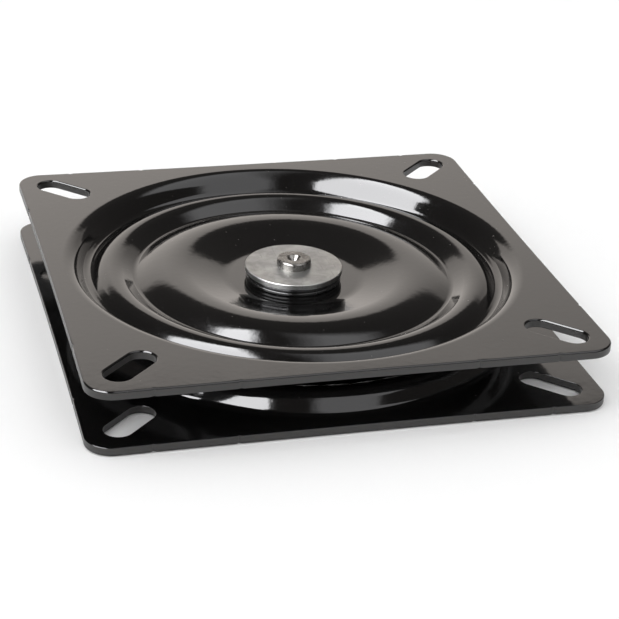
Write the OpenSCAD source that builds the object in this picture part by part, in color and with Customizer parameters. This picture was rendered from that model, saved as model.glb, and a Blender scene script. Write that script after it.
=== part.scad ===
// Swivel seat base: two pressed square plates that turn on a ring of loose balls.
// Millimetres, Z up. The origin is the centre of the lower plate's underside, on the turning axis.

/* [Plates] */
// Width of each square plate
plate_w = 178; // [150:1:206]
// Thickness of the pressed sheet
sheet_t = 3; // [2.6:0.1:3.2]
// Radius of the plates' rounded corners
corner_r = 9; // [6:0.5:14]
// Height from the lower plate's underside to the upper plate's top
total_h = 23.2; // [20:0.1:27]
// Width of the flat border at the middle of each side
rim_w = 6; // [5:0.5:8]
// Radius of the slight hollow that pressing the bowl has left in each side
pull_r = 6000; // [4000:500:9000]

/* [Slots] */
// Distance from the tip of a corner to the middle of its slot
slot_inset = 19.1; // [18:0.1:21]
// Length of each corner slot, end to end
slot_len = 22.5; // [16:0.5:24]
// Width of each corner slot
slot_w = 10; // [7:0.5:11]

/* [Pressed rings] */
// Radius of the circle on which the balls run, as a share of the bowl's radius
race_share = 0.795; // [0.79:0.005:0.8]
// How far the crease lies inside the race, as a share of the bowl's edge's distance outside it
crease_share = 0.53; // [0.5:0.01:0.55]
// Radius of the broad hump's crest, as a share of the bowl's radius
hump_share = 0.53; // [0.52:0.005:0.535]
// Radius of the flat land around the rivet, as a share of the bowl's radius
land_share = 0.277; // [0.265:0.001:0.285]
// Gap between the deep troughs of the two plates
trough_gap = 3.2; // [2.8:0.1:4]
// Gap between the flat lands of the two plates
land_gap = 0.6; // [0.4:0.1:1]

/* [Ball race] */
// Number of balls in the race
ball_n = 43; // [42:1:46]
// Gap between one ball and the next
ball_gap = 0.13; // [0.1:0.01:0.3]

/* [Centre stack] */
// Radius of the rivet's shank
shank_r = 5.2; // [4:0.1:5.6]
// Radius of the rivet's formed upper end
end_r = 6.2; // [5.8:0.1:8]
// How far that end stays below the border's upper face
end_below = 0.8; // [0.4:0.1:1.6]
// Radius of the steel washer
washer_r = 17.6; // [14:0.2:18.6]
// Thickness of the steel washer
washer_t = 2; // [1.5:0.1:2.4]
// Radius of the two dark rings beneath it
ring_r = 17.2; // [13:0.2:18.4]
// Thickness of each dark ring
ring_t = 1.3; // [1:0.1:1.6]
// Radius of the rivet's head under the lower plate
head_r = 10; // [8:0.5:12]
// Thickness of that head
head_t = 2.4; // [1.5:0.1:3]

/* [Hidden] */
$fn = 120;
// Clearances between pieces that move on each other
ball_clear = 0.05;
slide_clear = 0.05;
shank_clear = 0.08;
// The race is this much wider than the ball that runs in it
race_over_ball = 0.25;
// Cut past a face, so that no skin is left
over = 1;

half_w = plate_w / 2;
corner_x = half_w - corner_r;
slot_centre_r = corner_x * sqrt(2) + corner_r - slot_inset;

// Radii of the rings that the sheet is pressed into, from the bowl's edge inward
bowl_r = half_w - rim_w;
race_r = race_share * bowl_r;
race_in = bowl_r - race_r;
trough_r = (bowl_r + race_r) / 2;
crease_r = race_r - crease_share * race_in;
hump_r = hump_share * bowl_r;
land_r = land_share * bowl_r;

// The ball that fills the race, and the bends' radii as the sheet's upper face follows them
ball_d = 2 * race_r * sin(180 / ball_n) - ball_gap;
shoulder_r = 0.265 * race_in;
trough_bend_r = 0.2 * race_in;
race_bend_r = ball_d / 2 + race_over_ball + sheet_t;
crease_bend_r = 0.12 * race_in;
hump_bend_r = hump_r;
land_bend_r = 0.61 * land_r;

// Depths of the rings below the border
trough_d = (total_h - trough_gap) / 2 - sheet_t;
race_d = (total_h - ball_d) / 2 - ball_clear - sheet_t;
land_d = (total_h - land_gap) / 2 - sheet_t;
hump_d = land_d - 0.075 * hump_r;
crease_d = hump_d + 0.028 * crease_r;

// Heights of the pieces on the land
land_top_z = total_h - land_d;
ring_z = land_top_z + slide_clear;
upper_ring_z = ring_z + ring_t + slide_clear;
washer_z = upper_ring_z + ring_t;
washer_top_z = washer_z + washer_t;
end_z = total_h - end_below;
end_h = end_z - washer_top_z;
ring_edge_r = 0.45 * ring_t;
washer_edge_r = 0.35;
end_edge_r = 0.32 * end_h;
dimple_r = 0.52 * shank_r;
dimple_floor_r = 0.26 * dimple_r;
dimple_d = 0.8 * dimple_r;

// Marks left along the blank's sides by the cropping tool
crop_far = 0.85 * corner_x;
crop_near = 0.5 * corner_x;
crop_side = 0.69 * corner_x;
crop_w = 1.4;
crop_d = 0.5;

// The bends of the sheet from the shoulder inward, as the sheet's upper face follows them.
// Each is [radius of its centre, height of its centre, bend radius, true for a crest].
BENDS = [
    [bowl_r, -shoulder_r, shoulder_r, true],
    [trough_r, trough_bend_r - trough_d, trough_bend_r, false],
    [race_r, -race_d - race_bend_r, race_bend_r, true],
    [crease_r, crease_bend_r - crease_d, crease_bend_r, false],
    [hump_r, -hump_d - hump_bend_r, hump_bend_r, true],
    [land_r, land_bend_r - land_d, land_bend_r, false]
];
LAST = len(BENDS) - 1;
UP = atan2(1, 0);
// Each bend is drawn in steps of about this angle and this length
bend_step_a = 9;
bend_step_len = 4;
// Each half of a hollow side is drawn in this many steps
side_steps = 6;

ball_name = function(i) str("ball_", i < 10 ? "0" : "", i);

// Direction of the sheet's upper side where it runs straight from one bend to the next.
// Both bends touch that straight, so it is their common inner tangent.
function normal_between(a, b) =
    let (
        crest = a[3] ? a : b,
        trough = a[3] ? b : a,
        dr = trough[0] - crest[0],
        dz = trough[1] - crest[1],
        lean = acos((a[2] + b[2]) / sqrt(dr * dr + dz * dz))
    )
    atan2(dz, dr) + (a[3] ? -lean : lean);

// Point on a bend where the sheet's upper side faces the given way, sunk into the sheet by depth
function on_bend(bend, facing, depth) =
    let (r = bend[3] ? bend[2] - depth : -bend[2] - depth)
    [bend[0] + r * cos(facing), bend[1] + r * sin(facing)];

// Points along one bend, closer together on a tight bend than on a wide one
function bend_points(i, depth) =
    let (
        from = i == 0 ? UP : normal_between(BENDS[i - 1], BENDS[i]),
        to = i == LAST ? UP : normal_between(BENDS[i], BENDS[i + 1]),
        arc_len = BENDS[i][2] * abs(to - from) * PI / 180,
        steps = ceil(abs(to - from) / bend_step_a + arc_len / bend_step_len)
    )
    [for (k = [0:steps]) on_bend(BENDS[i], from + (to - from) * k / steps, depth)];

function sheet_side(depth) = [for (i = [0:LAST]) each bend_points(i, depth)];

function reversed(list) = [for (i = [len(list) - 1:-1:0]) list[i]];

// Section of the pressed bowl, from the flat border in to the bore through the land
module bowl_section(bore_r) {
    polygon([
        each sheet_side(0),
        [bore_r, -land_d],
        [bore_r, -land_d - sheet_t],
        each reversed(sheet_side(sheet_t))
    ]);
}

// How far a side is pulled in at this distance from its middle
function pulled_in(x) = (corner_x * corner_x - x * x) / (2 * pull_r);

// Points along the front side, from corner to corner
FRONT = [
    for (k = [-side_steps:side_steps])
        let (x = corner_x * k / side_steps)
        [x, pulled_in(x) - half_w]
];

function turned(p, a) = [p[0] * cos(a) - p[1] * sin(a), p[0] * sin(a) + p[1] * cos(a)];

// Outline of the blank: a square with rounded corners and slightly hollow sides
module blank_outline() {
    difference() {
        union() {
            polygon([for (a = [0:90:270]) each [for (p = FRONT) turned(p, a)]]);
            for (x = [-corner_x, corner_x], y = [-corner_x, corner_x]) {
                translate([x, y]) {
                    circle(corner_r);
                }
            }
        }
        crop_marks();
    }
}

// Small nicks where the cropping tool's cuts met: four along the front and back, two on each side
module crop_marks() {
    for (turn = [0, 180]) {
        rotate(turn) {
            side_nicks([-crop_far, -crop_near, crop_near, crop_far]);
        }
        rotate(turn + 90) {
            side_nicks([-crop_side, crop_side]);
        }
    }
}

module side_nicks(places) {
    for (x = places) {
        translate([x, pulled_in(x) - half_w]) {
            nick();
        }
    }
}

module nick() {
    polygon([
        [-crop_w, -crop_w],
        [crop_w, -crop_w],
        [0, crop_d]
    ]);
}

// One slot, on the diagonal
module slot_outline() {
    end_x = slot_len / 2 - slot_w / 2;
    translate([slot_centre_r, 0]) {
        square([2 * end_x, slot_w], center = true);
        for (x = [-end_x, end_x]) {
            translate([x, 0]) {
                circle(slot_w / 2);
            }
        }
    }
}

// One pressed plate, its border's upper face at height 0 and its bowl pressed downward
module pressed_plate(bore_r) {
    translate([0, 0, -sheet_t]) {
        linear_extrude(sheet_t) {
            difference() {
                blank_outline();
                circle(bowl_r);
                for (corner = [45:90:315]) {
                    rotate(corner) {
                        slot_outline();
                    }
                }
            }
        }
    }
    rotate_extrude() {
        bowl_section(bore_r);
    }
}

// Flat ring whose outer edges are rounded
module rounded_ring(outer, inner, thick, edge_r) {
    rotate_extrude() {
        translate([inner, 0]) {
            square([outer - edge_r - inner, thick]);
        }
        translate([inner, edge_r]) {
            square([outer - inner, thick - 2 * edge_r]);
        }
        for (z = [edge_r, thick - edge_r]) {
            translate([outer - edge_r, z]) {
                circle(edge_r);
            }
        }
    }
}

module base_plate() {
    color([0.06, 0.06, 0.06]) {
        mirror([0, 0, 1]) {
            pressed_plate(shank_r);
        }
    }
}

module seat_plate() {
    color([0.06, 0.06, 0.06]) {
        translate([0, 0, total_h]) {
            pressed_plate(shank_r + shank_clear);
        }
    }
}

// Shouldered rivet: head under the lower plate, shank through the stack, formed end on the washer
module centre_rivet() {
    color([0.45, 0.45, 0.44]) {
        difference() {
            union() {
                translate([0, 0, land_d - head_t]) {
                    rounded_ring(head_r, 0, head_t, head_t / 4);
                }
                translate([0, 0, land_d - over]) {
                    cylinder(r = shank_r, h = washer_top_z - land_d + 2 * over);
                }
                translate([0, 0, washer_top_z]) {
                    formed_end();
                }
            }
            translate([0, 0, end_z - dimple_d]) {
                cylinder(r1 = dimple_floor_r, r2 = dimple_r, h = dimple_d);
            }
        }
    }
}

module formed_end() {
    rotate_extrude() {
        square([end_r, end_h - end_edge_r]);
        square([end_r - end_edge_r, end_h]);
        translate([end_r - end_edge_r, end_h - end_edge_r]) {
            circle(end_edge_r);
        }
    }
}

module steel_washer() {
    color([0.62, 0.62, 0.60]) {
        translate([0, 0, washer_z]) {
            rounded_ring(washer_r, shank_r, washer_t, washer_edge_r);
        }
    }
}

module upper_ring() {
    color([0.05, 0.05, 0.05]) {
        translate([0, 0, upper_ring_z]) {
            rounded_ring(ring_r, shank_r, ring_t, ring_edge_r);
        }
    }
}

module lower_ring() {
    color([0.05, 0.05, 0.05]) {
        translate([0, 0, ring_z]) {
            rounded_ring(ring_r, shank_r + shank_clear, ring_t, ring_edge_r);
        }
    }
}

module ball(i) {
    color([0.7, 0.7, 0.7]) {
        rotate([0, 0, 360 * i / ball_n]) {
            translate([race_r, 0, total_h / 2]) {
                sphere(d = ball_d);
            }
        }
    }
}

base_plate();
seat_plate();
centre_rivet();
steel_washer();
upper_ring();
lower_ring();
for (i = [1:ball_n]) ball(i);
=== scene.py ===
# %% [markdown]
# # Swivel seat base
# Two square plates of black enamelled steel face each other and turn on a ring of balls.
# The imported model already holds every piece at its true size, on the body that it moves with.
# This lesson makes the two plates and the centre stack again with smooth rings and soft edges,
# at those sizes but for three of the pressed rings, and gives each surface its finish.

# %% Load the frame
from math import acos, atan2, ceil, cos, degrees, hypot, pi, radians, sin, sqrt

import bpy
from mathutils import Matrix, Vector


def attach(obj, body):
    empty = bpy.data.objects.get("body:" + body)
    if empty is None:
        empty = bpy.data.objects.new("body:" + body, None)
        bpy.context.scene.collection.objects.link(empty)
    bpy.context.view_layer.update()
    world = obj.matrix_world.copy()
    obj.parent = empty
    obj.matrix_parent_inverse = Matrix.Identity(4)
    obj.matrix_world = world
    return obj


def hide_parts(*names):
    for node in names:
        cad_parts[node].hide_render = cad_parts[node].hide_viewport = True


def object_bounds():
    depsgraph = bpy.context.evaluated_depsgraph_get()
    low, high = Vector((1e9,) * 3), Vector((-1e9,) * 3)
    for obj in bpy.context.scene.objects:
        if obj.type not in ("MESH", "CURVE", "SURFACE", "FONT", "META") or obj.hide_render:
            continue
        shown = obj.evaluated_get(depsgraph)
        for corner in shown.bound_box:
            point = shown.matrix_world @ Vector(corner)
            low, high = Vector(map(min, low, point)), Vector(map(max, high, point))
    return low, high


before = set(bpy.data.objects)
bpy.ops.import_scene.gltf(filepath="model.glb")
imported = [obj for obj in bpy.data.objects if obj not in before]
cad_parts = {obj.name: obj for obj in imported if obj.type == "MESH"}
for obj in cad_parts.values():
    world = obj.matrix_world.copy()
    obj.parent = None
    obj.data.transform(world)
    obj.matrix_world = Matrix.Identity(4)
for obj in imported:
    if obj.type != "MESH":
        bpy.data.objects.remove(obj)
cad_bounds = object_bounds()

MM = 0.001

# %% [markdown]
# ## The camera
# A photograph is matched by its camera before anything else. The place and the turn used here
# come from the corners of the two plates, with the plates 178 mm wide. The lens is long,
# so the far side is only a little smaller than the near side.

# %% Place the camera
CAMERA_PLACE = (-0.16595, -0.59259, 0.30672)
CAMERA_RIGHT = (0.96523, -0.25711, 0.04719)
CAMERA_UP = (0.07356, 0.44038, 0.89479)
LENS_MM = 109.0

camera_data = bpy.data.cameras.new("photo_camera")
camera_data.lens = LENS_MM
camera_data.sensor_width = 36
camera_data.clip_start = 0.01
camera = bpy.data.objects.new("photo_camera", camera_data)
bpy.context.collection.objects.link(camera)
right = Vector(CAMERA_RIGHT).normalized()
back = right.cross(Vector(CAMERA_UP)).normalized()
up = back.cross(right)
turn = Matrix((right, up, back)).transposed().to_4x4()
camera.matrix_world = Matrix.Translation(CAMERA_PLACE) @ turn
bpy.context.scene.camera = camera
print("camera looks along", [round(-v, 3) for v in back])

# %% [markdown]
# ## The sheet's section
# The plates are pressed from sheet of one thickness. A section through the bowl is a row of
# bends: shoulder, deep trough, the ridge over the balls, a crease, a broad hump, and the last
# bend down to the flat land. Each pair of neighbours is joined by the straight line that
# touches both. The two sides of the sheet use the same bends, one radius larger or smaller
# by the sheet's thickness, so the sheet never gets thinner.
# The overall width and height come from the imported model, and the ball race and the land are
# the same as there. The hump, the crease and the trough were read again from the reflections in
# the photograph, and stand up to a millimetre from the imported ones. Some bends are wider or
# tighter too. All sizes here are in millimetres.

# %% Sizes of the plate
SHEET = 3.0
HALF_WIDTH = cad_bounds[1][0] / MM
TOTAL_HEIGHT = cad_bounds[1][2] / MM
CORNER_R = 9.0
RIM = 6.0
SIDE_HOLLOW_R = 6000.0
SLOT_INSET, SLOT_LENGTH, SLOT_WIDTH = 19.1, 22.5, 10.0
BORE_R = 5.28
BALL = 9.5
RACE_ROOM, BALL_TOP_GAP = 0.25, 0.05
LAND_GAP, TROUGH_GAP = 0.6, 3.0
TROUGH_SHIFT = 0.5
SHOULDER_BEND, TROUGH_BEND, CREASE_BEND = 6.0, 2.6, 2.1
HUMP_BEND, LAND_BEND = 25.5, 14.0

CORNER_X = HALF_WIDTH - CORNER_R
SLOT_CENTRE = CORNER_X * sqrt(2) + CORNER_R - SLOT_INSET
BOWL_R = HALF_WIDTH - RIM
RACE_R = 0.795 * BOWL_R
RACE_IN = BOWL_R - RACE_R
RACE_BEND = BALL / 2 + RACE_ROOM + SHEET
TROUGH_R = (BOWL_R + RACE_R) / 2 - TROUGH_SHIFT
CREASE_R = RACE_R - 0.516 * RACE_IN
HUMP_R = 0.53 * BOWL_R
LAND_R = 0.277 * BOWL_R
LAND_DEPTH = (TOTAL_HEIGHT - LAND_GAP) / 2 - SHEET
TROUGH_DEPTH = (TOTAL_HEIGHT - TROUGH_GAP) / 2 - SHEET
RACE_DEPTH = (TOTAL_HEIGHT - BALL) / 2 - BALL_TOP_GAP - SHEET
HUMP_DEPTH = 4.25
CREASE_DEPTH = 7.5


def crest(r, depth, bend_r):
    """A bend that the sheet goes over: radius and height of its centre, and its own radius."""
    return (r, -depth - bend_r, bend_r, True)


def trough(r, depth, bend_r):
    """A bend that the sheet goes under."""
    return (r, bend_r - depth, bend_r, False)


BENDS = [
    crest(BOWL_R, 0, SHOULDER_BEND),
    trough(TROUGH_R, TROUGH_DEPTH, TROUGH_BEND),
    crest(RACE_R, RACE_DEPTH, RACE_BEND),
    trough(CREASE_R, CREASE_DEPTH, CREASE_BEND),
    crest(HUMP_R, HUMP_DEPTH, HUMP_BEND),
    trough(LAND_R, LAND_DEPTH, LAND_BEND),
]


def facing_between(a, b):
    """Direction, in degrees, of the sheet's upper side where it runs straight from a to b."""
    over, under = (a, b) if a[3] else (b, a)
    dr, dz = under[0] - over[0], under[1] - over[1]
    lean = degrees(acos((a[2] + b[2]) / hypot(dr, dz)))
    return degrees(atan2(dz, dr)) + (-lean if a[3] else lean)


def sheet_side(depth, step=2.5, longest=0.9):
    """Points (radius, height) in mm along the bowl, sunk by depth into the sheet."""
    points = []
    for i, (r, z, bend_r, is_crest) in enumerate(BENDS):
        start = 90 if i == 0 else facing_between(BENDS[i - 1], BENDS[i])
        end = 90 if i == len(BENDS) - 1 else facing_between(BENDS[i], BENDS[i + 1])
        reach = bend_r - depth if is_crest else -bend_r - depth
        arc_length = bend_r * radians(abs(end - start))
        count = max(2, ceil(max(abs(end - start) / step, arc_length / longest)))
        for k in range(count + 1):
            a = radians(start + (end - start) * k / count)
            points.append((r + reach * cos(a), z + reach * sin(a)))
    return points


upper_side = sheet_side(0)
lower_side = sheet_side(SHEET)
print("points along the bowl:", len(upper_side), len(lower_side))

# %% [markdown]
# ## Drawing lines and spinning sections
# A line is drawn point by point, by extruding one vertex. A round piece is drawn like turned
# work: half of its section is such a line, spun about the upright axis. After a spin the
# first and the last column lie on each other, so they are merged, and the faces are turned
# outward.


# %% Helpers for modelling by hand
def start_clean():
    if bpy.context.object and bpy.context.object.mode != "OBJECT":
        bpy.ops.object.mode_set(mode="OBJECT")
    bpy.ops.object.select_all(action="DESELECT")


def take(obj):
    """Makes obj the only one selected, and the active one."""
    start_clean()
    obj.select_set(True)
    bpy.context.view_layer.objects.active = obj


def pick(obj, kind, test):
    """Selects the vertices, edges or faces of obj, in edit mode, for which test is true."""
    bpy.ops.object.mode_set(mode="OBJECT")
    mesh = obj.data
    for group in (mesh.vertices, mesh.edges, mesh.polygons):
        group.foreach_set("select", [False] * len(group))
    count = 0
    for item in getattr(mesh, {"VERT": "vertices", "EDGE": "edges", "FACE": "polygons"}[kind]):
        item.select = bool(test(item))
        count += item.select
    bpy.ops.object.mode_set(mode="EDIT")
    bpy.ops.mesh.select_mode(type=kind)
    return count


def drawn(name, points, closed=False):
    """A line through the points (x, y, z) in mm, left in edit mode with all of it selected."""
    start_clean()
    bpy.ops.mesh.primitive_plane_add(size=0.01)
    line = bpy.context.object
    line.name = name
    line.data.name = name
    bpy.ops.object.mode_set(mode="EDIT")
    bpy.ops.mesh.select_mode(type="VERT")
    bpy.ops.mesh.select_all(action="SELECT")
    bpy.ops.mesh.merge(type="CENTER")
    bpy.ops.mesh.select_all(action="SELECT")
    path = [Vector(p) * MM for p in points]
    bpy.ops.transform.translate(value=path[0])
    for here, there in zip(path, path[1:] + path[:1] if closed else path[1:]):
        bpy.ops.mesh.extrude_region_move(TRANSFORM_OT_translate={"value": there - here})
    bpy.ops.mesh.select_all(action="SELECT")
    bpy.ops.mesh.remove_doubles(threshold=1e-6)
    bpy.ops.mesh.select_all(action="SELECT")
    return line


def spun(name, section, steps, closed):
    """A round piece: the section's points (radius, height) in mm, spun about Z."""
    piece = drawn(name, [(r, 0, z) for r, z in section], closed)
    bpy.ops.mesh.spin(steps=steps, angle=2 * pi, center=(0, 0, 0), axis=(0, 0, 1))
    bpy.ops.mesh.select_all(action="SELECT")
    bpy.ops.mesh.remove_doubles(threshold=2e-6)
    bpy.ops.mesh.normals_make_consistent(inside=False)
    bpy.ops.object.mode_set(mode="OBJECT")
    return piece


def joined(pieces):
    """Joins the pieces into the first of them."""
    take(pieces[0])
    for piece in pieces:
        piece.select_set(True)
    bpy.ops.object.join()
    return pieces[0]


def apply_modifiers(piece):
    take(piece)
    for modifier in list(piece.modifiers):
        bpy.ops.object.modifier_apply(modifier=modifier.name)


print("helpers ready")

# %% [markdown]
# ## The flat blank
# Outline, slots and the bowl's edge are drawn as closed lines in one plane and filled between.
# The sides are drawn in a little, as pressing the bowl pulls them, and carry the small nicks
# of the cropping tool. The filled sheet is extruded to its thickness. Its rims are then
# rounded by insets that rise a little each time, wide on the upper side, where the press tool
# rolls the edge over, and narrow below.

# %% Draw the blank's lines
STEPS = 320
CORNER_STEPS = 12
SIDE_STEPS = 24
NICK_HALF, NICK_DEEP = 1.0, 0.45
NICKS = ((-0.85, -0.5, 0.5, 0.85), (-0.69, 0.69))


def pulled_in(x):
    """How far a side is drawn in at this distance from its middle."""
    return (CORNER_X * CORNER_X - x * x) / (2 * SIDE_HOLLOW_R)


def arc(centre, radius, start, end, steps):
    angles = [radians(start + (end - start) * k / steps) for k in range(steps + 1)]
    return [(centre[0] + radius * cos(a), centre[1] + radius * sin(a), 0) for a in angles]


def turned(points, angle):
    turn_by = Matrix.Rotation(radians(angle), 3, "Z")
    return [tuple(turn_by @ Vector(p)) for p in points]


def side_points(nicks):
    """The front side, from left to right, without the corners' own points."""
    middles = [share * CORNER_X for share in nicks]
    stations = [CORNER_X * (2 * k / SIDE_STEPS - 1) for k in range(1, SIDE_STEPS)]
    places = [(x, 0) for x in stations if all(abs(x - m) > 2 * NICK_HALF for m in middles)]
    for m in middles:
        places += [(m - NICK_HALF, 0), (m, NICK_DEEP), (m + NICK_HALF, 0)]
    return [(x, pulled_in(x) - HALF_WIDTH + deep, 0) for x, deep in sorted(places)]


def outline_points():
    points = []
    for k in range(4):
        front_right = arc((CORNER_X, -CORNER_X), CORNER_R, -90, 0, CORNER_STEPS)
        points += turned(side_points(NICKS[k % 2]) + front_right, 90 * k)
    return points


def slot_points(angle):
    half = (SLOT_LENGTH - SLOT_WIDTH) / 2
    outer = arc((SLOT_CENTRE + half, 0), SLOT_WIDTH / 2, -90, 90, 24)
    inner = arc((SLOT_CENTRE - half, 0), SLOT_WIDTH / 2, 90, 270, 24)
    return turned(outer + inner, angle)


lines = [drawn("blank", outline_points(), closed=True)]
lines += [drawn("slot", slot_points(45 + 90 * k), closed=True) for k in range(4)]
start_clean()
bpy.ops.mesh.primitive_circle_add(vertices=STEPS, radius=BOWL_R * MM)
lines.append(bpy.context.object)
blank = joined(lines)
print("blank's lines:", len(blank.data.edges), "edges")

# %% Fill, extrude and round the rims
ROLLED, BROKEN = 0.6, 0.2


def round_rim(radius, steps):
    """Rounds the rim of the selected faces, by insets that rise less and less steeply."""
    angles = [radians(90 * k / steps) for k in range(steps + 1)]
    for a, b in zip(angles, angles[1:]):
        inward, rise = radius * (cos(a) - cos(b)), radius * (sin(b) - sin(a))
        bpy.ops.mesh.inset(thickness=inward * MM, depth=rise * MM, use_even_offset=True)


def on_bowl_edge(vertex):
    return abs(vertex.co.xy.length - BOWL_R * MM) < 1e-6


def is_disc(face):
    """Only the two faces that fill the bowl's edge have this many corners."""
    return len(face.vertices) > STEPS - 2


take(blank)
bpy.ops.object.mode_set(mode="EDIT")
bpy.ops.mesh.select_all(action="SELECT")
bpy.ops.mesh.fill()
pick(blank, "VERT", on_bowl_edge)
bpy.ops.mesh.edge_face_add()
bpy.ops.mesh.select_all(action="SELECT")
bpy.ops.mesh.normals_make_consistent(inside=False)
bpy.ops.transform.translate(value=(0, 0, -ROLLED * MM))
drop = (0, 0, (ROLLED + BROKEN - SHEET) * MM)
bpy.ops.mesh.extrude_region_move(TRANSFORM_OT_translate={"value": drop})
bpy.ops.mesh.select_all(action="SELECT")
bpy.ops.mesh.normals_make_consistent(inside=False)
for facing, radius, steps in ((1, ROLLED, 6), (-1, BROKEN, 3)):
    pick(blank, "FACE", lambda f: f.normal.z * facing > 0.9)
    round_rim(radius, steps)
removed = pick(blank, "FACE", is_disc)
bpy.ops.mesh.delete(type="FACE")
bpy.ops.object.mode_set(mode="OBJECT")
print("blank:", len(blank.data.polygons), "faces,", removed, "discs removed")

# %% [markdown]
# ## The bowl
# The section is spun in as many steps as the blank's round edge has points, so that the two
# meet vertex to vertex and the paint runs on without a seam.

# %% Spin the bowl and join it on
bore_wall = [(BORE_R, -LAND_DEPTH), (BORE_R, -LAND_DEPTH - SHEET)]
bowl = spun("bowl", upper_side + bore_wall + lower_side[::-1], STEPS, closed=False)
pressing = joined([blank, bowl])
bpy.ops.object.mode_set(mode="EDIT")
bpy.ops.mesh.select_all(action="SELECT")
bpy.ops.mesh.remove_doubles(threshold=5e-6)
bpy.ops.mesh.normals_make_consistent(inside=False)
bpy.ops.object.mode_set(mode="OBJECT")
print("pressing:", len(pressing.data.polygons), "faces")


# %% Put the plates in place
def finish_shading(piece, angle=40):
    take(piece)
    bpy.ops.object.shade_smooth_by_angle(angle=radians(angle))
    weighted = piece.modifiers.new("weighted", "WEIGHTED_NORMAL")
    weighted.keep_sharp = True
    weighted.weight = 100
    apply_modifiers(piece)


def place(piece, height, flip=False):
    take(piece)
    if flip:
        piece.scale = (1, 1, -1)
    piece.location = (0, 0, height * MM)
    bpy.ops.object.transform_apply(location=True, rotation=True, scale=True)
    if flip:
        bpy.ops.object.mode_set(mode="EDIT")
        bpy.ops.mesh.select_all(action="SELECT")
        bpy.ops.mesh.normals_make_consistent(inside=False)
        bpy.ops.object.mode_set(mode="OBJECT")


def copy_of(piece, name):
    twin = piece.copy()
    twin.data = piece.data.copy()
    twin.name = name
    twin.data.name = name
    bpy.context.collection.objects.link(twin)
    return twin


seat_shell = copy_of(pressing, "seat_shell")
base_shell = copy_of(pressing, "base_shell")
bpy.data.objects.remove(pressing)
place(seat_shell, TOTAL_HEIGHT)
place(base_shell, 0, flip=True)
for shell in (seat_shell, base_shell):
    finish_shading(shell)
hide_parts("seat_plate")
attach(seat_shell, "seat")
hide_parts("base_plate")
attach(base_shell, "base")
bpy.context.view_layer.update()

# %% [markdown]
# ## The centre stack
# Washer, rings and rivet are turned pieces, so each is one spun section with rounded edges.

# %% Spin the centre stack
def rounded_section(outer, inner, low, high, edge, steps=5):
    """Section of a ring whose two outer edges are rounded by the given radius."""
    points = [(inner, low)]
    for k in range(steps + 1):
        a = radians(-90 + 90 * k / steps)
        points.append((outer - edge + edge * cos(a), low + edge + edge * sin(a)))
    for k in range(steps + 1):
        a = radians(90 * k / steps)
        points.append((outer - edge + edge * cos(a), high - edge + edge * sin(a)))
    points.append((inner, high))
    return points


def ring(name, outer, inner, low, thick, edge):
    return spun(name, rounded_section(outer, inner, low, low + thick, edge), RING_STEPS, closed=True)


RING_STEPS, RIVET_STEPS = 192, 128
RING_R, RING_THICK, RING_EDGE = 17.2, 1.3, 0.5
WASHER_R, WASHER_THICK, WASHER_EDGE = 17.6, 2.0, 0.3
SLIDE = 0.05
SHANK_R = 5.2
HEAD_R, HEAD_LOW, HEAD_TOP = 10, 5.9, 8.3
END_R, END_HIGH, END_ROUND = 6.2, 2.8, 0.9
DIMPLE = ((2.7, 0), (2.45, 0.12), (0.7, 2.0), (0.3, 2.2), (0, 2.2))
LAND_TOP = TOTAL_HEIGHT - LAND_DEPTH
lower_low = LAND_TOP + SLIDE
upper_low = lower_low + RING_THICK + SLIDE
washer_low = upper_low + RING_THICK
washer_top = washer_low + WASHER_THICK
end_top = washer_top + END_HIGH

lower_ring = ring("bearing_ring", RING_R, BORE_R, lower_low, RING_THICK, RING_EDGE)
upper_ring = ring("spring_ring", RING_R, SHANK_R, upper_low, RING_THICK, RING_EDGE)
washer = ring("clamp_washer", WASHER_R, SHANK_R, washer_low, WASHER_THICK, WASHER_EDGE)
rivet_section = [
    (0, HEAD_LOW),
    (HEAD_R - 0.6, HEAD_LOW),
    (HEAD_R - 0.2, HEAD_LOW + 0.15),
    (HEAD_R, HEAD_LOW + 0.6),
    (HEAD_R, HEAD_TOP - 0.6),
    (HEAD_R - 0.2, HEAD_TOP - 0.2),
    (HEAD_R - 0.6, HEAD_TOP),
    (SHANK_R, HEAD_TOP),
    (SHANK_R, washer_top),
    (END_R, washer_top),
    (END_R, end_top - END_ROUND),
]
for k in range(1, 7):
    a = radians(15 * k)
    rivet_section.append((END_R - END_ROUND + END_ROUND * cos(a), end_top - END_ROUND + END_ROUND * sin(a)))
for r, sunk in DIMPLE:
    rivet_section.append((r, end_top - sunk))
rivet = spun("rivet", rivet_section, RIVET_STEPS, closed=False)
for piece, node, body, slot in (
    (lower_ring, "lower_ring", "seat", "black_ring"),
    (upper_ring, "upper_ring", "base", "black_ring"),
    (washer, "steel_washer", "base", "bright_steel"),
    (rivet, "centre_rivet", "base", "dark_steel"),
):
    finish_shading(piece, 35)
    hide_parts(node)
    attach(piece, body)
    print(piece.name, "stands for", node)

# %% [markdown]
# ## Effects that several finishes share
# Each effect is a small node group. It gives out a value or a normal, and the finish decides
# what to do with it: ripple bends the reflections, blotches vary the gloss, and hairlines are
# the fine scratches of handling. All of them are laid out in the piece's own coordinates.


# %% Shared effects
def new_group(name, numbers, output, output_kind):
    group = bpy.data.node_groups.new(name, "ShaderNodeTree")
    for label, value in numbers.items():
        socket = group.interface.new_socket(label, in_out="INPUT", socket_type="NodeSocketFloat")
        socket.default_value = value
    group.interface.new_socket(output, in_out="OUTPUT", socket_type=output_kind)
    return group, group.nodes.new("NodeGroupInput").outputs, group.nodes.new("NodeGroupOutput").inputs


def add_node(tree, kind, values=None, **settings):
    """A node with its settings and its unlinked inputs set."""
    node = tree.nodes.new("ShaderNode" + kind)
    for key, value in settings.items():
        setattr(node, key, value)
    for key, value in (values or {}).items():
        node.inputs[key].default_value = value
    return node


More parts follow.
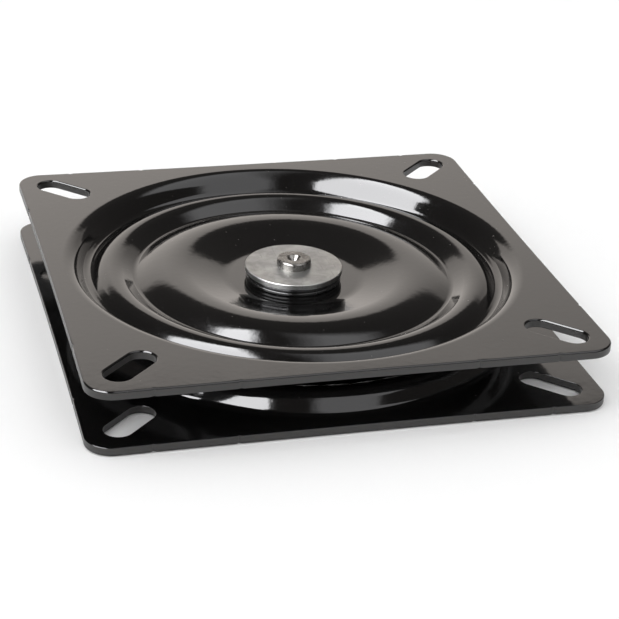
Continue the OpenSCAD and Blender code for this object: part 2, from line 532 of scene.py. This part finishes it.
def surface_ripple():
    """Bends the normal by soft waves: Scale is waves per metre, Height is in metres."""
    group, given, out = new_group(
        "surface_ripple", {"Scale": 400, "Height": 0.00001}, "Normal", "NodeSocketVector"
    )
    place_at = add_node(group, "TexCoord")
    waves = add_node(group, "TexNoise", {"Detail": 2.0, "Roughness": 0.45})
    bump = add_node(group, "Bump", {"Strength": 1.0})
    group.links.new(place_at.outputs["Object"], waves.inputs["Vector"])
    group.links.new(given["Scale"], waves.inputs["Scale"])
    group.links.new(waves.outputs["Fac"], bump.inputs["Height"])
    group.links.new(given["Height"], bump.inputs["Distance"])
    group.links.new(bump.outputs["Normal"], out["Normal"])
    return group


def blotches():
    """A value that drifts between Low and High from place to place."""
    group, given, out = new_group(
        "blotches", {"Scale": 60, "Low": 0.0, "High": 1.0}, "Value", "NodeSocketFloat"
    )
    place_at = add_node(group, "TexCoord")
    cloud = add_node(group, "TexNoise", {"Detail": 5.0, "Roughness": 0.62, "Distortion": 0.4})
    spread = add_node(group, "MapRange", {"From Min": 0.34, "From Max": 0.66})
    group.links.new(place_at.outputs["Object"], cloud.inputs["Vector"])
    group.links.new(given["Scale"], cloud.inputs["Scale"])
    group.links.new(cloud.outputs["Fac"], spread.inputs["Value"])
    group.links.new(given["Low"], spread.inputs["To Min"])
    group.links.new(given["High"], spread.inputs["To Max"])
    group.links.new(spread.outputs["Result"], out["Value"])
    return group


def hairlines():
    """Mask of fine scratches, 1 on a scratch: two sets of stretched noise, crossing."""
    group, given, out = new_group("hairlines", {"Scale": 100}, "Mask", "NodeSocketFloat")
    place_at = add_node(group, "TexCoord")
    masks = []
    for turn_by, stretch in ((0.5, (0.5, 14, 3)), (-0.9, (11, 0.6, 3))):
        lay = add_node(group, "Mapping", {"Rotation": (0, 0, turn_by), "Scale": stretch})
        lines = add_node(group, "TexNoise", {"Detail": 1.0, "Distortion": 0.15})
        thin = add_node(group, "MapRange", {"From Min": 0.68, "From Max": 0.74})
        group.links.new(place_at.outputs["Object"], lay.inputs["Vector"])
        group.links.new(lay.outputs["Vector"], lines.inputs["Vector"])
        group.links.new(given["Scale"], lines.inputs["Scale"])
        group.links.new(lines.outputs["Fac"], thin.inputs["Value"])
        masks.append(thin.outputs["Result"])
    both = add_node(group, "Math", operation="MAXIMUM")
    group.links.new(masks[0], both.inputs[0])
    group.links.new(masks[1], both.inputs[1])
    group.links.new(both.outputs["Value"], out["Mask"])
    return group


RIPPLE, BLOTCHES, HAIRLINES = surface_ripple(), blotches(), hairlines()


def use(tree, group, values):
    node = tree.nodes.new("ShaderNodeGroup")
    node.node_tree = group
    for key, value in values.items():
        node.inputs[key].default_value = value
    return node.outputs[0]


def new_material(name):
    material = bpy.data.materials.new(name)
    material.use_nodes = True
    return material, material.node_tree, material.node_tree.nodes["Principled BSDF"].inputs


def between(tree, factor, low, high):
    """A colour between two greys or colours, by factor."""
    mix = add_node(tree, "MixRGB", {"Color1": (*low, 1), "Color2": (*high, 1)})
    tree.links.new(factor, mix.inputs["Fac"])
    return mix.outputs["Color"]


def computed(tree, operation, first, second):
    """A math node on two sockets, or on a socket and a number."""
    node = add_node(tree, "Math", operation=operation)
    for socket, value in zip(node.inputs, (first, second)):
        if isinstance(value, (int, float)):
            socket.default_value = value
        else:
            tree.links.new(value, socket)
    return node.outputs["Value"]


def give(piece, material):
    piece.data.materials.clear()
    piece.data.materials.append(material)


print("effects:", [g.name for g in (RIPPLE, BLOTCHES, HAIRLINES)])

# %% [markdown]
# ## Finishes
# Stoved enamel is a smooth, hard, black skin that mirrors what is around it, with a slight
# ripple where it flowed before it was baked. It is thinner and rougher on the sheared sides of
# the sheet, and a few specks of dust are baked into it. The washer is zinc plated and dull,
# the rivet is worn steel, and the balls are hard and bright.

# %% Black enamel
enamel, tree, skin = new_material("black_enamel")
geometry = add_node(tree, "NewGeometry")
upright = add_node(tree, "SeparateXYZ")
tree.links.new(geometry.outputs["True Normal"], upright.inputs["Vector"])
slope = computed(tree, "ABSOLUTE", upright.outputs["Z"], 0)
sheared = add_node(tree, "MapRange", {"From Min": 0.12, "From Max": 0.02})
tree.links.new(slope, sheared.inputs["Value"])
place_at = add_node(tree, "TexCoord")
specks = add_node(tree, "TexVoronoi", {"Scale": 260.0, "Randomness": 1.0})
speck = add_node(tree, "MapRange", {"From Min": 0.075, "From Max": 0.055})
tree.links.new(place_at.outputs["Object"], specks.inputs["Vector"])
tree.links.new(specks.outputs["Distance"], speck.inputs["Value"])
rare = use(tree, BLOTCHES, {"Scale": 55.0, "Low": -0.6, "High": 0.9})
dust = computed(tree, "MULTIPLY", speck.outputs["Result"], computed(tree, "MAXIMUM", rare, 0))
bare = between(tree, sheared.outputs["Result"], (0.0045, 0.0043, 0.0043), (0.03, 0.029, 0.028))
tint = add_node(tree, "MixRGB", {"Color2": (0.10, 0.09, 0.085, 1)})
tree.links.new(dust, tint.inputs["Fac"])
tree.links.new(bare, tint.inputs["Color1"])
tint = tint.outputs["Color"]
gloss = use(tree, BLOTCHES, {"Scale": 38.0, "Low": 0.055, "High": 0.10})
side_gloss = computed(tree, "MULTIPLY", sheared.outputs["Result"], 0.34)
rub = computed(tree, "MULTIPLY", use(tree, HAIRLINES, {"Scale": 42.0}), 0.03)
marks = computed(tree, "ADD", rub, computed(tree, "MULTIPLY", dust, 0.3))
rough = computed(tree, "ADD", computed(tree, "ADD", gloss, side_gloss), marks)
tree.links.new(tint, skin["Base Color"])
tree.links.new(rough, skin["Roughness"])
tree.links.new(use(tree, RIPPLE, {"Scale": 430.0, "Height": 0.000018}), skin["Normal"])
skin["IOR"].default_value = 1.5
give(seat_shell, enamel)
give(base_shell, enamel)

# %% Steels and the dark rings
zinc, tree, skin = new_material("zinc_steel")
cloud = use(tree, BLOTCHES, {"Scale": 160.0})
lines = use(tree, HAIRLINES, {"Scale": 150.0})
tone = computed(tree, "SUBTRACT", cloud, computed(tree, "MULTIPLY", lines, 0.5))
tree.links.new(between(tree, tone, (0.22, 0.22, 0.215), (0.36, 0.36, 0.35)), skin["Base Color"])
tree.links.new(use(tree, BLOTCHES, {"Scale": 90.0, "Low": 0.30, "High": 0.46}), skin["Roughness"])
tree.links.new(use(tree, RIPPLE, {"Scale": 700.0, "Height": 0.00003}), skin["Normal"])
skin["Metallic"].default_value = 1
give(washer, zinc)


def cloudy_finish(name, cloud_scale, dark, light, gloss_scale, gloss, ripple):
    """A finish whose colour and gloss drift from place to place, over a slight ripple."""
    finish, tree, skin = new_material(name)
    cloud = use(tree, BLOTCHES, {"Scale": cloud_scale})
    tree.links.new(between(tree, cloud, dark, light), skin["Base Color"])
    drift = {"Scale": gloss_scale, "Low": gloss[0], "High": gloss[1]}
    tree.links.new(use(tree, BLOTCHES, drift), skin["Roughness"])
    tree.links.new(use(tree, RIPPLE, {"Scale": ripple[0], "Height": ripple[1]}), skin["Normal"])
    return finish, skin


worn, skin = cloudy_finish(
    "worn_steel", 420.0, (0.085, 0.08, 0.075), (0.21, 0.205, 0.195), 300.0, (0.16, 0.34), (900.0, 0.00004)
)
skin["Metallic"].default_value = 1
give(rivet, worn)

dark, skin = cloudy_finish(
    "dark_ring", 200.0, (0.006, 0.006, 0.006), (0.014, 0.014, 0.014), 150.0, (0.16, 0.30), (800.0, 0.00002)
)
give(lower_ring, dark)
give(upper_ring, dark)

bright, tree, skin = new_material("ball_steel")
lines = use(tree, HAIRLINES, {"Scale": 420.0})
tree.links.new(between(tree, lines, (0.62, 0.62, 0.61), (0.42, 0.42, 0.41)), skin["Base Color"])
tree.links.new(use(tree, BLOTCHES, {"Scale": 350.0, "Low": 0.08, "High": 0.18}), skin["Roughness"])
skin["Metallic"].default_value = 1
for name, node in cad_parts.items():
    if name.startswith("ball_"):
        give(node, bright)
print("finishes:", sorted(m.name for m in bpy.data.materials if m.users))

# %% [markdown]
# ## Floor, light and surroundings
# A black mirror shows the studio more than itself, so the studio is what has to be right.
# Seen from the plates there is a large white softbox high on the left, a much dimmer panel on
# the right, a pale backdrop low at the back and a dark room between them. Each is a patch of
# the world that only reflections see. Its edges are straight lines on a plane, above the
# plates for the softbox and the panel, behind them for the backdrop. What is dull gets even
# light from all round and a little from a lamp where the softbox is.

# %% Floor and lamp
start_clean()
bpy.ops.mesh.primitive_plane_add(size=6, location=(0, 0, -0.0002))
floor = bpy.context.object
floor.name = "floor"
floor_white, tree, skin = new_material("pale_floor")
paper = use(tree, BLOTCHES, {"Scale": 3.0})
tree.links.new(between(tree, paper, (0.95, 0.95, 0.95), (0.965, 0.965, 0.965)), skin["Base Color"])
skin["Roughness"].default_value = 0.9
skin["Specular IOR Level"].default_value = 0.2
give(floor, floor_white)

lamp_data = bpy.data.lights.new("left_softbox", "AREA")
lamp_data.shape = "RECTANGLE"
lamp_data.size, lamp_data.size_y = 1.2, 0.9
lamp_data.energy = 6
lamp = bpy.data.objects.new("left_softbox", lamp_data)
bpy.context.collection.objects.link(lamp)
lamp.location = (-0.95, -0.22, 1.35)
lamp.rotation_euler = (-Vector(lamp.location)).to_track_quat("-Z", "Y").to_euler()
lamp.visible_glossy = False

# %% Begin the world
world = bpy.data.worlds.new("studio")
bpy.context.scene.world = world
world.use_nodes = True
world.cycles.sampling_method = "NONE"
tree = world.node_tree
background = tree.nodes["Background"]
direction = add_node(tree, "TexCoord").outputs["Generated"]
axes = add_node(tree, "SeparateXYZ")
tree.links.new(direction, axes.inputs["Vector"])


def step_up(value, start, end):
    """0 below start, 1 above end, smooth between."""
    step = add_node(tree, "MapRange", {"From Min": start, "From Max": end}, interpolation_type="SMOOTHSTEP")
    tree.links.new(value, step.inputs["Value"])
    return step.outputs["Result"]


def on_plane(axis):
    """Where the direction meets the plane at distance 1 along the axis."""
    safe = computed(tree, "MAXIMUM", axes.outputs[axis], 0.02)
    scaled = add_node(tree, "VectorMath", operation="SCALE")
    tree.links.new(direction, scaled.inputs[0])
    tree.links.new(computed(tree, "DIVIDE", 1.0, safe), scaled.inputs["Scale"])
    return scaled.outputs["Vector"]


def patch(point, lines, soft, strength):
    """Light inside all the lines a*x + b*y + c*z > 0 of a plane, with soft edges."""
    light = strength
    for line in lines:
        side = add_node(tree, "VectorMath", {1: line}, operation="DOT_PRODUCT")
        tree.links.new(point, side.inputs[0])
        light = computed(tree, "MULTIPLY", step_up(side.outputs["Value"], -soft, soft), light)
    return light


print("world:", world.name)

# %% Softbox, panel and backdrop
SOFTBOX_LIGHT, PANEL_LIGHT, BACKDROP_LIGHT, DARK_LIGHT = 17.0, 1.8, 1.0, 0.13
COOL, WARM = (0.98, 0.98, 1.0), (1.0, 0.93, 0.87)

overhead, behind = on_plane("Z"), on_plane("Y")
softbox = patch(overhead, ((-1, 0.34, -0.187), (0.34, -1, 0.58)), 0.04, SOFTBOX_LIGHT)
softbox = computed(tree, "MULTIPLY", softbox, step_up(axes.outputs["Z"], 0.26, 0.36))
panel = patch(overhead, ((1, -0.1, -0.13), (-0.5, -1, 0.60), (-1, 0, 1.15)), 0.12, PANEL_LIGHT)
panel = computed(tree, "MULTIPLY", panel, step_up(axes.outputs["Z"], 0.26, 0.40))
backdrop = patch(behind, ((0.08, 0.59, -1), (1, 0.5, 0), (-1, 1.15, 0)), 0.05, BACKDROP_LIGHT)
left_to_right = add_node(tree, "SeparateXYZ")
tree.links.new(behind, left_to_right.inputs["Vector"])
falling = add_node(tree, "MapRange", {"From Min": 0.1, "From Max": 0.9, "To Min": 1.5, "To Max": 0.6})
tree.links.new(left_to_right.outputs["X"], falling.inputs["Value"])
backdrop = computed(tree, "MULTIPLY", backdrop, falling.outputs["Result"])
backdrop = computed(tree, "MULTIPLY", backdrop, step_up(axes.outputs["Y"], 0.1, 0.2))


def coloured(light, colour):
    """The light as a colour."""
    shade = add_node(tree, "VectorMath", {0: colour}, operation="SCALE")
    tree.links.new(light, shade.inputs["Scale"])
    return shade.outputs["Vector"]


def added(first, second):
    """Two colours of light together."""
    total = add_node(tree, "VectorMath", operation="ADD")
    tree.links.new(first, total.inputs[0])
    tree.links.new(second, total.inputs[1])
    return total.outputs["Vector"]


lights = coloured(computed(tree, "ADD", softbox, panel), COOL)
surroundings = coloured(computed(tree, "ADD", backdrop, DARK_LIGHT), WARM)
room = added(lights, surroundings)
print("studio: softbox, panel and backdrop")

# %% [markdown]
# ## Who sees what
# The camera sees plain white past the floor. Reflections see the studio. Everything dull is
# lit by an even light a little below white, so that it keeps the colour that it was given.

# %% Share the world out

path = add_node(tree, "LightPath")
EVEN_LIGHT = 0.92
plain = between(tree, path.outputs["Is Camera Ray"], (EVEN_LIGHT,) * 3, (1, 1, 1))
seen = add_node(tree, "MixRGB")
tree.links.new(path.outputs["Is Glossy Ray"], seen.inputs["Fac"])
tree.links.new(plain, seen.inputs["Color1"])
tree.links.new(room, seen.inputs["Color2"])
tree.links.new(seen.outputs["Color"], background.inputs["Color"])
background.inputs["Strength"].default_value = 1
bpy.context.scene.view_settings.view_transform = "Standard"
print("studio ready")
